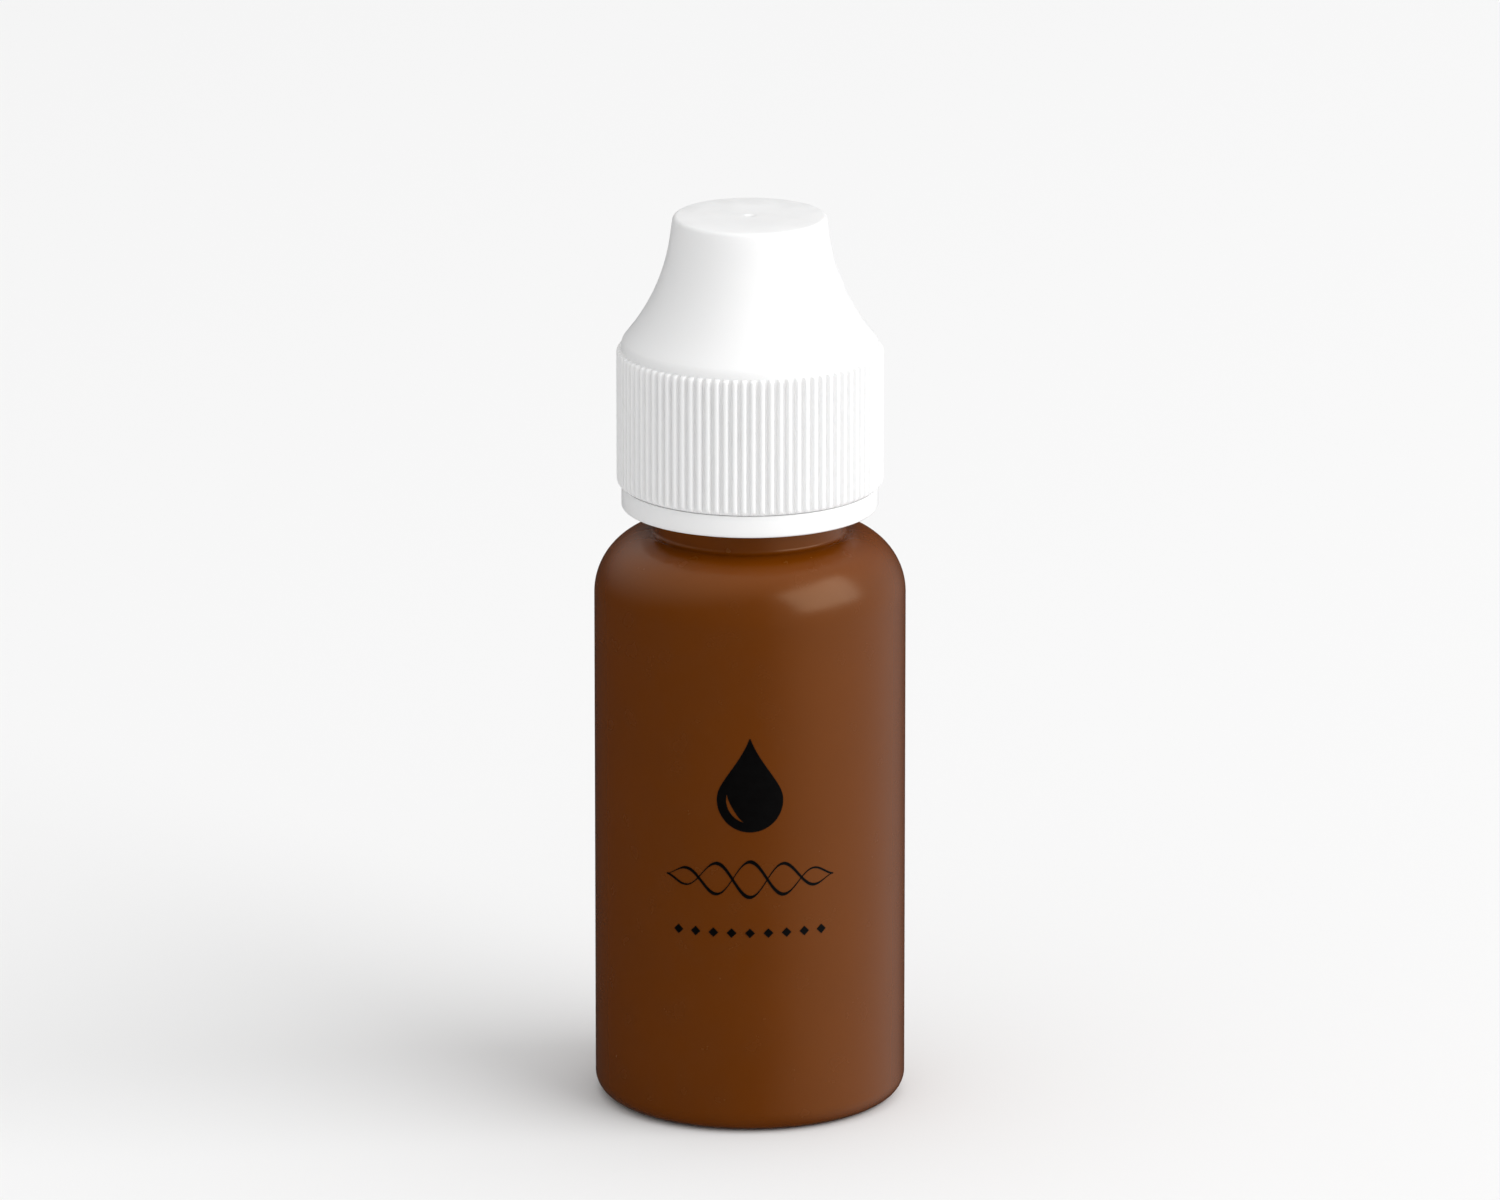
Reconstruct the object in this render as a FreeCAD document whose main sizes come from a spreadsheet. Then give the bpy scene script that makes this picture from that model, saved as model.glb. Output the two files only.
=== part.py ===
import FreeCAD, Part
import Sketcher
import math
import operator
import os

# Squeeze dropper bottle for ink, 15 ml, with a bell-topped ribbed screw cap and a
# tamper-evident ring under it. Millimetres, +Z up, origin at the centre of the
# standing surface, printed front towards -Y.

SHEET = "dims"
SIZES = (
    ("body_radius", 12.7, "outer radius of the body"),
    ("wall", 0.9, "wall thickness of the body"),
    ("heel_radius", 1.75, "rounding between the base and the side"),
    ("shoulder_radius", 5.3, "rounding between the side and the neck"),
    ("side_height", 42.45, "height at which the straight side ends"),
    ("floor_thickness", 0.9, "thickness of the base"),
    ("push_up", 0.6, "how far the base is domed in"),
    ("foot_width", 1.35, "flat width of the standing ring"),
    ("foot_slope", 0.8, "width of the slope inside the standing ring"),
    ("neck_radius", 7.8, "neck radius at the root of the thread"),
    ("neck_wall", 1.5, "wall thickness of the neck"),
    ("neck_fillet", 0.5, "rounding where the neck meets the shoulder"),
    ("rim_rise", 13.25, "neck rim above the top of the shoulder"),
    ("bead_depth", 1.1, "how far the retaining bead stands out of the neck"),
    ("bead_width", 1.0, "height of the retaining bead"),
    ("bead_flat", 0.4, "height of the retaining bead's upright face"),
    ("thread_pitch", 3.175, "rise of the thread in one turn"),
    ("thread_turns", 1.5, "turns of thread on the neck and in the cap"),
    ("thread_depth", 1.05, "how far each thread stands out"),
    ("thread_gap", 0.25, "radial gap beyond the crest of each thread"),
    ("thread_margin", 1.05, "middle of the last neck thread below the rim"),
    ("thread_drop", 1.2, "cap thread below the neck thread it bears on"),
    ("tooth_base", 0.75, "half the width of a thread at its root"),
    ("tooth_crest", 0.35, "half the width of a thread at its crest"),
    ("tooth_sink", 0.2, "depth to which a thread's root is sunk into its wall"),
    ("ring_gap", 2.0, "tamper ring above the top of the shoulder"),
    ("ring_height", 1.7, "height of the tamper ring"),
    ("ring_catch", 0.5, "overlap of the ring's catch under the neck bead"),
    ("catch_height", 1.05, "height of the ring's catch"),
    ("catch_slope", 0.3, "width of the slope under the ring's catch"),
    ("ring_edge", 0.2, "rounding of the ring's lower edge"),
    ("bead_clearance", 0.2, "height between the catch and the neck bead"),
    ("slit", 0.15, "slit between the ring and the cap"),
    ("bridge_count", 10, "tear bridges across the slit"),
    ("bridge_width", 0.6, "width of one tear bridge"),
    ("bridge_depth", 0.8, "radial depth of one tear bridge"),
    ("bridge_sink", 0.1, "depth to which a bridge is sunk into the ring"),
    ("skirt_wall", 1.36, "wall thickness of the cap's skirt"),
    ("skirt_share", 0.518, "share of the cap's height that is straight skirt"),
    ("skirt_mouth", 0.25, "bevel inside the skirt's lower edge"),
    ("skirt_edge", 0.15, "bevel outside the skirt's lower edge"),
    ("cap_height", 22.4, "height of the cap"),
    ("corner_radius", 1.0, "rounding between the skirt and the bell"),
    ("bell_angle", 39.3, "lean of the bell at its foot, in degrees"),
    ("crown_angle", 7.5, "lean of the bell at its top, in degrees"),
    ("crown_rise", 1.63, "straight length above the hollow curve"),
    ("crown_radius", 6.255, "radius of the flat top"),
    ("crown_edge", 0.35, "rounding of the top edge"),
    ("bell_wall", 1.2, "wall thickness of the bell"),
    ("crown_thickness", 1.4, "thickness of the flat top"),
    ("gate_radius", 0.4, "radius of the moulding gate dimple"),
    ("gate_depth", 0.1, "depth of the moulding gate dimple"),
    ("gate_slope", 0.1, "width of the slope of the gate dimple's side"),
    ("rib_count", 90, "grip ribs round the skirt"),
    ("rib_depth", 0.39, "how far a rib stands out"),
    ("rib_sink", 0.25, "depth to which a rib is sunk into the skirt"),
    ("rib_width", 0.41, "width of a rib"),
    ("rib_flank", 25, "slope of a rib's flanks, in degrees"),
    ("rib_low", 0.1, "foot of the ribs above the skirt's lower edge"),
    ("rib_high", 0.3, "top of the ribs below the bell"),
    ("rib_low_taper", 0.68, "length over which a rib fades out at its foot"),
    ("rib_high_taper", 0.5, "length over which a rib fades out at its top"),
    ("boss_radius", 2.4, "radius of the boss under the cap's top"),
    ("boss_height", 1.3, "height of the boss under the cap's top"),
    ("pin_radius", 0.3, "radius of the sealing pin"),
    ("pin_length", 0.9, "length of the sealing pin"),
    ("seal_gap", 0.1, "gap between the boss and the dropper tip"),
    ("flange_height", 1.0, "height of the dropper tip's flange"),
    ("flange_inset", 0.2, "flange inside the neck's outer radius"),
    ("plug_length", 5.5, "length of the plug in the neck"),
    ("plug_gap", 0.15, "radial gap round the plug"),
    ("plug_wall", 0.8, "wall thickness of the plug"),
    ("plug_lead", 0.6, "height of the bevel at the plug's lower end"),
    ("plug_bevel", 0.4, "width of the bevel at the plug's lower end"),
    ("seal_bead", 0.13, "how far the plug's sealing bead stands out"),
    ("seal_drop", 1.6, "sealing bead below the rim"),
    ("seal_step", 0.4, "height of each of the sealing bead's three faces"),
    ("nozzle_base", 4.5, "radius of the nozzle at its foot"),
    ("nozzle_tip", 1.6, "radius of the nozzle at its tip"),
    ("nozzle_wall", 0.9, "wall thickness of the nozzle at its foot"),
    ("nozzle_root", 0.4, "height of the slope inside the nozzle's foot, each side of the rim"),
    ("nozzle_blunt", 0.3, "bevel of the nozzle's tip"),
    ("orifice_radius", 0.45, "radius of the hole that lets the drops out"),
    ("orifice_length", 1.3, "length of that hole"),
    ("ink_depth", 34.5, "depth of the ink"),
    ("ink_gap", 0.05, "ink inside the wall"),
    ("ink_corner", 1.0, "bevel of the ink's lower edge"),
    ("print_thickness", 0.05, "thickness of the printed ink film"),
    ("print_reach", 0.6, "share of the body radius from which the outlines are pushed out"),
    ("drop_radius", 2.7, "radius of the printed drop"),
    ("drop_centre", 28.4, "height of the printed drop's round part"),
    ("drop_point", 5.3, "point of the drop above its round part"),
    ("flourish_height", 21.7, "height of the printed flourish"),
    ("flourish_half", 7.2, "half the width of the flourish"),
    ("diamond_half", 1.2, "half the width of the middle diamond"),
    ("needle_half", 0.2, "half the thickness of a flourish line"),
    ("needle_gap", 0.6, "gap between the middle diamond and a flourish line"),
    ("row_height", 17.15, "height of the row of small diamonds"),
    ("row_pitch", 1.5, "spacing of the small diamonds"),
    ("row_half", 0.4, "half the width of a small diamond"),
    ("row_count", 9, "small diamonds in the row"),
)
X_ZERO = -2
Y_ZERO = -1
ORIGIN = (-1, 1)
OPERATIONS = {"+": operator.add, "-": operator.sub, "*": operator.mul, "/": operator.truediv}


class Size:
    """A length, with the formula that ties it to the sheet."""

    def __init__(self, value, text):
        self.value = value
        self.text = text

    def __add__(self, other):
        return combined(self, "+", other)

    def __sub__(self, other):
        return combined(self, "-", other)

    def __mul__(self, other):
        return combined(self, "*", other)

    def __truediv__(self, other):
        return combined(self, "/", other)

    def __neg__(self):
        return combined(0, "-", self)


def combined(first, sign, second):
    first, second = as_size(first), as_size(second)
    value = OPERATIONS[sign](first.value, second.value)
    return Size(value, f"({first.text} {sign} {second.text})")


def as_size(number):
    return number if isinstance(number, Size) else Size(number, str(number))


def cosine(angle):
    return Size(math.cos(math.radians(angle.value)), f"cos({angle.text})")


def sine(angle):
    return Size(math.sin(math.radians(angle.value)), f"sin({angle.text})")


def tangent(angle):
    return Size(math.tan(math.radians(angle.value)), f"tan({angle.text})")


def root(number):
    return Size(math.sqrt(number.value), f"sqrt({number.text})")


def beside(radius, across):
    """How far a point on a circle lies from the centre one way, given how far it lies the other way."""
    return root(radius * radius - across * across)


def fill_sheet(document):
    """Write the sizes into the sheet and give each back under its own name."""
    sheet = document.addObject("Spreadsheet::Sheet", SHEET)
    sizes = {}
    for row, (alias, value, note) in enumerate(SIZES, start=1):
        sheet.set(f"A{row}", alias)
        sheet.set(f"B{row}", str(value))
        sheet.set(f"C{row}", note)
        sheet.setAlias(f"B{row}", alias)
        sizes[alias] = Size(value, f"{SHEET}.{alias}")
    document.recompute()
    return sizes


def bind(target, prop, size):
    target.setExpression(prop, as_size(size).text)


def new_body(document, label):
    body = document.addObject("PartDesign::Body", label)
    body.Label = label
    return body


def origin_plane(body, role):
    return next(item for item in body.Origin.OriginFeatures if item.Role == role)


def new_sketch(body, name, role="XZ_Plane"):
    sketch = body.newObject("Sketcher::SketchObject", name)
    sketch.AttachmentSupport = (origin_plane(body, role), [""])
    sketch.MapMode = "FlatFace"
    return sketch


def constrain(sketch, kind, place, size):
    """Hold one coordinate of a sketch point at a size from the sheet."""
    size = as_size(size)
    if size.value == 0:
        axis = X_ZERO if kind == "DistanceX" else Y_ZERO
        sketch.addConstraint(Sketcher.Constraint("PointOnObject", *place, axis))
        return
    index = sketch.addConstraint(Sketcher.Constraint(kind, *ORIGIN, *place, size.value))
    sketch.setExpression(f"Constraints[{index}]", size.text)


def number(size):
    return as_size(size).value


def line(x, z):
    """An outline step: a straight line to a point."""
    return {"x": x, "z": z, "held": "xz"}


def arc(x, z, centre, turn, held):
    """An outline step: an arc round centre; held names the coordinate the sheet gives."""
    return {"x": x, "z": z, "centre": centre, "turn": turn, "held": held}


def add_arc(sketch, start, end, centre, turn):
    middle = FreeCAD.Vector(number(centre[0]), number(centre[1]), 0)
    first, last = (start, end) if turn > 0 else (end, start)
    radius = math.dist((start[0], start[1]), (middle.x, middle.y))
    low = math.atan2(first[1] - middle.y, first[0] - middle.x)
    high = math.atan2(last[1] - middle.y, last[0] - middle.x)
    if high < low:
        high += 2 * math.pi
    circle = Part.Circle(middle, FreeCAD.Vector(0, 0, 1), radius)
    return sketch.addGeometry(Part.ArcOfCircle(circle, low, high), False)


def add_line(sketch, start, end):
    ends = [FreeCAD.Vector(*point, 0) for point in (start, end)]
    return sketch.addGeometry(Part.LineSegment(*ends), False)


def draw(sketch, steps):
    """Draw a closed outline; each step goes on from the one before, and the first from the last."""
    edges = []
    for before, step in zip(steps[-1:] + steps[:-1], steps):
        start = number(before["x"]), number(before["z"])
        end = number(step["x"]), number(step["z"])
        turn = step.get("turn", 0)
        if turn:
            edges.append((add_arc(sketch, start, end, step["centre"], turn), turn))
        else:
            edges.append((add_line(sketch, start, end), 1))
    for before, here in zip(edges[-1:] + edges[:-1], edges):
        tail = before[0], (2 if before[1] > 0 else 1)
        head = here[0], (1 if here[1] > 0 else 2)
        sketch.addConstraint(Sketcher.Constraint("Coincident", *tail, *head))
    for (edge, turn), step in zip(edges, steps):
        tip = edge, (2 if turn > 0 else 1)
        if "centre" in step:
            constrain(sketch, "DistanceX", (edge, 3), step["centre"][0])
            constrain(sketch, "DistanceY", (edge, 3), step["centre"][1])
        if "x" in step["held"]:
            constrain(sketch, "DistanceX", tip, step["x"])
        if "z" in step["held"]:
            constrain(sketch, "DistanceY", tip, step["z"])


def revolve(body, name, steps):
    sketch = new_sketch(body, f"{name}_outline")
    draw(sketch, steps)
    turned = body.newObject("PartDesign::Revolution", name)
    turned.Profile = (sketch, [""])
    turned.ReferenceAxis = (sketch, ["V_Axis"])
    turned.Angle = 360
    body.Document.recompute()
    return turned


def round_edge(body, feature, name, radius, edge_radius, height):
    """Round the circular edges of one radius at one height."""
    names = [
        f"Edge{i}"
        for i, edge in enumerate(feature.Shape.Edges, start=1)
        if is_ring(edge, edge_radius.value, height.value)
    ]
    if not names:
        raise RuntimeError(f"{name}: no edge of radius {edge_radius.value} at {height.value}")
    fillet = body.newObject("PartDesign::Fillet", name)
    fillet.Base = (feature, names)
    bind(fillet, "Radius", radius)
    body.Document.recompute()
    return fillet


def is_ring(edge, radius, height, tolerance=1e-3):
    curve = edge.Curve
    if not isinstance(curve, Part.Circle):
        return False
    return abs(curve.Radius - radius) < tolerance and abs(curve.Center.z - height) < tolerance


def add_thread(body, name, root_radius, crest_radius, height, at):
    """A right-hand helical thread of trapezoid section, on or inside a cylinder."""
    sketch = new_sketch(body, f"{name}_section")
    corners = (
        (root_radius, height - at["tooth_base"]),
        (crest_radius, height - at["tooth_crest"]),
        (crest_radius, height + at["tooth_crest"]),
        (root_radius, height + at["tooth_base"]),
    )
    draw(sketch, [line(x, z) for x, z in corners])
    thread = body.newObject("PartDesign::AdditiveHelix", name)
    thread.Profile = (sketch, [""])
    thread.ReferenceAxis = (sketch, ["V_Axis"])
    thread.Mode = "pitch-turns-angle"
    bind(thread, "Pitch", at["thread_pitch"])
    bind(thread, "Turns", at["thread_turns"])
    before = body.Shape.Volume
    body.Document.recompute()
    if body.Shape.Volume <= before:
        raise RuntimeError(f"{name} added nothing")


def repeat(body, feature, name, count):
    """Repeat a feature evenly round the axis."""
    pattern = body.newObject("PartDesign::PolarPattern", name)
    pattern.Originals = [feature]
    pattern.Axis = (origin_plane(body, "Z_Axis"), [""])
    pattern.Angle = 360
    bind(pattern, "Occurrences", count)
    before = body.Shape.Volume
    body.Tip = pattern
    body.Document.recompute()
    if body.Shape.Volume <= before:
        raise RuntimeError(f"{name} added nothing")
    return pattern


def levels(size):
    """Heights and radii that several pieces share."""
    at = dict(size)
    at["inner_radius"] = size["body_radius"] - size["wall"]
    at["floor"] = size["push_up"] + size["floor_thickness"]
    at["shoulder_centre"] = size["body_radius"] - size["shoulder_radius"]
    at["shoulder_top"] = size["side_height"] + size["shoulder_radius"]
    at["rim"] = at["shoulder_top"] + size["rim_rise"]
    at["bore"] = size["neck_radius"] - size["neck_wall"]
    at["thread_radius"] = size["neck_radius"] + size["thread_depth"]
    at["skirt_bore"] = at["thread_radius"] + size["thread_gap"]
    at["cap_radius"] = at["skirt_bore"] + size["skirt_wall"]
    at["bead_radius"] = size["neck_radius"] + size["bead_depth"]
    at["ring_bottom"] = at["shoulder_top"] + size["ring_gap"]
    at["ring_top"] = at["ring_bottom"] + size["ring_height"]
    at["catch_top"] = at["ring_bottom"] + size["catch_height"]
    at["bead_bottom"] = at["catch_top"] + size["bead_clearance"]
    at["cap_bottom"] = at["ring_top"] + size["slit"]
    at["cap_top"] = at["cap_bottom"] + size["cap_height"]
    at["bell_foot"] = at["cap_bottom"] + size["cap_height"] * size["skirt_share"]
    at["ceiling"] = at["cap_top"] - size["crown_thickness"]
    at["boss_bottom"] = at["ceiling"] - size["boss_height"]
    at["tip_top"] = at["boss_bottom"] - size["seal_gap"]
    at["thread_rise"] = size["thread_pitch"] * size["thread_turns"]
    at["thread_start"] = at["rim"] - size["thread_margin"] - at["thread_rise"]
    return at


def make_bottle(document, at):
    """Blow-moulded body: standing ring, domed base, round shoulder and threaded neck."""
    body = new_body(document, "bottle")
    outer, inner = at["body_radius"], at["inner_radius"]
    heel = at["heel_radius"]
    inner_heel = heel - at["wall"]
    inner_shoulder = at["shoulder_radius"] - at["wall"]
    foot = outer - heel - at["foot_width"]
    side = at["side_height"]
    centre = at["shoulder_centre"], side
    neck, bead = at["neck_radius"], at["bead_radius"]
    low, width = at["bead_bottom"], at["bead_width"]
    inner_heel_top = at["floor"] + inner_heel
    neck_foot = side + beside(at["shoulder_radius"], neck - centre[0])
    steps = [
        line(0, at["push_up"]),
        line(foot - at["foot_slope"], at["push_up"]),
        line(foot, 0),
        line(outer - heel, 0),
        arc(outer, heel, (outer - heel, heel), 1, "z"),
        line(outer, side),
        arc(neck, neck_foot, centre, 1, "x"),
        line(neck, low),
        line(bead, low),
        line(bead, low + at["bead_flat"]),
        line(neck, low + width),
        line(neck, at["rim"]),
        line(at["bore"], at["rim"]),
        line(at["bore"], side + inner_shoulder),
        line(centre[0], side + inner_shoulder),
        arc(inner, side, centre, -1, "z"),
        line(inner, inner_heel_top),
        arc(inner - inner_heel, at["floor"], (inner - inner_heel, inner_heel_top), -1, "x"),
        line(0, at["floor"]),
    ]
    shell = revolve(body, "shell", steps)
    round_edge(body, shell, "neck_foot_round", at["neck_fillet"], neck, neck_foot)
    root_radius = neck - at["tooth_sink"]
    add_thread(body, "neck_thread", root_radius, at["thread_radius"], at["thread_start"], at)
    return body


def make_ring(document, at):
    """Tamper-evident ring, caught under the neck bead, with its tear bridges."""
    body = new_body(document, "tamper_ring")
    catch = at["bead_radius"] - at["ring_catch"]
    bore = at["skirt_bore"]
    outer, bottom, top = at["cap_radius"], at["ring_bottom"], at["ring_top"]
    edge = at["ring_edge"]
    steps = [
        line(catch, bottom + edge),
        line(catch + at["catch_slope"], bottom),
        line(outer - edge, bottom),
        arc(outer, bottom + edge, (outer - edge, bottom + edge), 1, "z"),
        line(outer, top),
        line(bore, top),
        line(bore, at["catch_top"]),
        line(catch, at["catch_top"]),
    ]
    revolve(body, "ring", steps)
    sketch = new_sketch(body, "bridge_outline", "XY_Plane")
    sink = at["bridge_sink"]
    bind(sketch, "AttachmentOffset.Base.z", top - sink)
    middle = (outer + bore) / 2
    half_depth, half_width = at["bridge_depth"] / 2, at["bridge_width"] / 2
    draw(sketch, box_steps(middle - half_depth, middle + half_depth, half_width))
    bridge = body.newObject("PartDesign::Pad", "bridge")
    bridge.Profile = (sketch, [""])
    bind(bridge, "Length", at["slit"] + sink)
    document.recompute()
    repeat(body, bridge, "bridges", at["bridge_count"])
    return body


def box_steps(left, right, half):
    return [line(left, -half), line(right, -half), line(right, half), line(left, half)]


def bell_curve(start, start_lean, end, end_lean):
    """Radius and centre of the hollow curve that leaves the end with its own lean and
    meets the straight slope from the start."""
    across, along = end[0] - start[0], end[1] - start[1]
    gap = across * cosine(start_lean) + along * sine(start_lean)
    radius = gap / (as_size(1) - cosine(start_lean - end_lean))
    centre = end[0] + radius * cosine(end_lean), end[1] + radius * sine(end_lean)
    return radius, centre


def make_cap(document, at):
    """Screw cap: ribbed skirt with an inner thread, bell top, boss and sealing pin."""
    body = new_body(document, "screw_cap")
    bore, outer = at["skirt_bore"], at["cap_radius"]
    low, high, foot = at["cap_bottom"], at["cap_top"], at["bell_foot"]
    corner, lean = at["corner_radius"], at["bell_angle"]
    corner_centre = outer - corner, foot
    corner_end = outer - corner + corner * cosine(lean), foot + corner * sine(lean)
    crown_low = high - at["crown_rise"]
    crown_foot = at["crown_radius"] + at["crown_rise"] * tangent(at["crown_angle"])
    bell, centre = bell_curve(corner_end, lean, (crown_foot, crown_low), at["crown_angle"])
    inside = bell + at["bell_wall"]
    ceiling, boss = at["ceiling"], at["boss_bottom"]
    inner_top = centre[0] - beside(inside, centre[1] - ceiling)
    inner_foot = centre[1] - beside(inside, centre[0] - bore)
    mouth, edge = at["skirt_mouth"], at["skirt_edge"]
    gate_bottom = high - at["gate_depth"]
    pin_bottom = boss - at["pin_length"]
    steps = [
        line(bore + mouth, low),
        line(outer - edge, low),
        line(outer, low + edge),
        line(outer, foot),
        arc(*corner_end, corner_centre, 1, "z"),
        line(centre[0] - bell * cosine(lean), centre[1] - bell * sine(lean)),
        arc(crown_foot, crown_low, centre, -1, "z"),
        line(at["crown_radius"], high),
        line(at["gate_radius"], high),
        line(at["gate_radius"] - at["gate_slope"], gate_bottom),
        line(0, gate_bottom),
        line(0, pin_bottom),
        line(at["pin_radius"], pin_bottom),
        line(at["pin_radius"], boss),
        line(at["boss_radius"], boss),
        line(at["boss_radius"], ceiling),
        line(inner_top, ceiling),
        arc(bore, inner_foot, centre, 1, "x"),
        line(bore, low + mouth),
    ]
    shell = revolve(body, "bell", steps)
    round_edge(body, shell, "crown_edge_round", at["crown_edge"], at["crown_radius"], high)
    start = at["thread_start"] - at["thread_drop"]
    add_thread(body, "cap_thread", bore + at["tooth_sink"], bore - at["thread_depth"], start, at)
    add_ribs(body, at)
    return body


def add_ribs(body, at):
    """Grip ribs: one rib that fades out at both ends, repeated round the skirt."""
    surface = at["cap_radius"]
    crest = surface + at["rib_depth"]
    low = at["cap_bottom"] + at["rib_low"]
    high = at["bell_foot"] - at["rib_high"]
    sunk = surface - at["rib_sink"]
    sketch = new_sketch(body, "rib_outline")
    draw(sketch, [
        line(sunk, low),
        line(surface, low),
        line(crest, low + at["rib_low_taper"]),
        line(crest, high - at["rib_high_taper"]),
        line(surface, high),
        line(sunk, high),
    ])
    rib = body.newObject("PartDesign::Pad", "rib")
    rib.Profile = (sketch, [""])
    rib.SideType = "Two sides"
    for suffix in ("", "2"):
        bind(rib, f"Length{suffix}", at["rib_width"] / 2)
        bind(rib, f"TaperAngle{suffix}", -at["rib_flank"])
    body.Document.recompute()
    repeat(body, rib, "ribs", at["rib_count"])


def make_tip(document, at):
    """Dropper insert: plug with a sealing bead, flange on the neck rim and hollow nozzle."""
    body = new_body(document, "dropper_tip")
    rim, top, hole = at["rim"], at["tip_top"], at["orifice_radius"]
    flange = at["neck_radius"] - at["flange_inset"]
    flange_top = rim + at["flange_height"]
    plug = at["bore"] - at["plug_gap"]
    bead = plug + at["seal_bead"]
    bottom = rim - at["plug_length"]
    inner = plug - at["plug_wall"]
    blunt = at["nozzle_blunt"]
    seal_top, step = rim - at["seal_drop"], at["seal_step"]
    slope = at["nozzle_root"]
    steps = [
        line(hole, top),
        line(at["nozzle_tip"] - blunt, top),
        line(at["nozzle_tip"], top - blunt),
        line(at["nozzle_base"], flange_top),
        line(flange, flange_top),
        line(flange, rim),
        line(plug, rim),
        line(plug, seal_top),
        line(bead, seal_top - step),
        line(bead, seal_top - step * 2),
        line(plug, seal_top - step * 3),
        line(plug, bottom + at["plug_lead"]),
        line(plug - at["plug_bevel"], bottom),
        line(inner, bottom),
        line(inner, rim - slope),
        line(at["nozzle_base"] - at["nozzle_wall"], rim + slope),
        line(hole, top - at["orifice_length"]),
    ]
    revolve(body, "insert", steps)
    return body


def make_ink(document, at):
    """The ink in the body, as a closed solid up to its level."""
    body = new_body(document, "ink_fill")
    side = at["inner_radius"] - at["ink_gap"]
    corner = at["ink_corner"]
    level = at["floor"] + at["ink_depth"]
    steps = [
        line(0, at["floor"]),
        line(side - corner, at["floor"]),
        line(side, at["floor"] + corner),
        line(side, level),
        line(0, level),
    ]
    revolve(body, "fill", steps)
    return body


def diamond_steps(x, z, half_width, half_height):
    return [
        line(x - half_width, z),
        line(x, z - half_height),
        line(x + half_width, z),
        line(x, z + half_height),
    ]


def print_outlines(at):
    """Closed outlines of the printed mark: a drop, a flourish and a row of small diamonds."""
    radius, middle = at["drop_radius"], at["drop_centre"]
    reach = at["drop_point"]
    height = radius * radius / reach
    side = beside(radius, height)
    drop = [
        line(0, middle + reach),
        line(-side, middle + height),
        arc(side, middle + height, (0, middle), 1, "z"),
    ]
    flourish, half, thin = at["flourish_height"], at["flourish_half"], at["needle_half"]
    big = at["diamond_half"]
    needle = (half - big - at["needle_gap"]) / 2
    centre = half - needle
    outlines = [drop, diamond_steps(as_size(0), flourish, big, big)]
    outlines += [diamond_steps(x, flourish, needle, thin) for x in (-centre, centre)]
    small = at["row_half"]
    count = round(at["row_count"].value)
    for place in range(count):
        x = at["row_pitch"] * (place - (count - 1) / 2)
        outlines.append(diamond_steps(x, at["row_height"], small, small))
    return outlines


def new_part(document, kind, name, **values):
    """A Part object whose sizes come from the sheet."""
    item = document.addObject(kind, name)
    for prop, size in values.items():
        bind(item, prop, size)
    return item


def make_print(document, at):
    """The printed mark: a thin film of ink on the front of the body."""
    sketch = document.addObject("Sketcher::SketchObject", "print_outline")
    back = at["body_radius"] * at["print_reach"]
    sketch.Placement.Rotation = FreeCAD.Rotation(FreeCAD.Vector(1, 0, 0), 90)
    bind(sketch, "Placement.Base.y", -back)
    for steps in print_outlines(at):
        draw(sketch, steps)
    block = new_part(document, "Part::Extrusion", "print_block", LengthFwd=back)
    block.Base = sketch
    block.DirMode = "Normal"
    block.Solid = True
    side = at["side_height"]
    outside = new_part(
        document, "Part::Cylinder", "print_outside",
        Radius=at["body_radius"] + at["print_thickness"], Height=side,
    )
    inside = new_part(document, "Part::Cylinder", "print_inside", Radius=at["body_radius"], Height=side)
    film = document.addObject("Part::Cut", "print_film")
    film.Base, film.Tool = outside, inside
    mark = document.addObject("Part::Common", "printed_mark")
    mark.Base, mark.Tool = block, film
    mark.Label = "printed_mark"
    document.recompute()
    return mark


def check_document(document):
    for item in document.Objects:
        if "Invalid" in item.State or "Error" in item.State:
            raise RuntimeError(f"{item.Label} failed: {item.State}")
        if item.TypeId == "Sketcher::SketchObject" and item.solve() != 0:
            raise RuntimeError(f"{item.Label} can't be solved")


def write_piece(piece):
    shape = piece.Shape
    if shape.isNull() or not shape.isValid():
        raise RuntimeError(f"{piece.Label} has no valid shape")
    shape.exportStep(f"parts/{piece.Label}.step")
    box = shape.BoundBox
    print(
        f"{piece.Label}: {len(shape.Solids)} solid(s), {shape.Volume:.2f} mm3,"
        f" z {box.ZMin:.2f} to {box.ZMax:.2f}"
    )


def main():
    document = FreeCAD.newDocument("ink_bottle")
    at = levels(fill_sheet(document))
    makers = (make_bottle, make_tip, make_ring, make_cap, make_ink, make_print)
    pieces = [make(document, at) for make in makers]
    document.recompute()
    check_document(document)
    os.makedirs("parts", exist_ok=True)
    for piece in pieces:
        write_piece(piece)


main()
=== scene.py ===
"""Looks of a squeeze dropper bottle for ink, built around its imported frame."""

import math

import bmesh
import bpy
from bpy.props import FloatProperty, FloatVectorProperty, IntProperty, PointerProperty
from mathutils import Matrix, Vector


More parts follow.
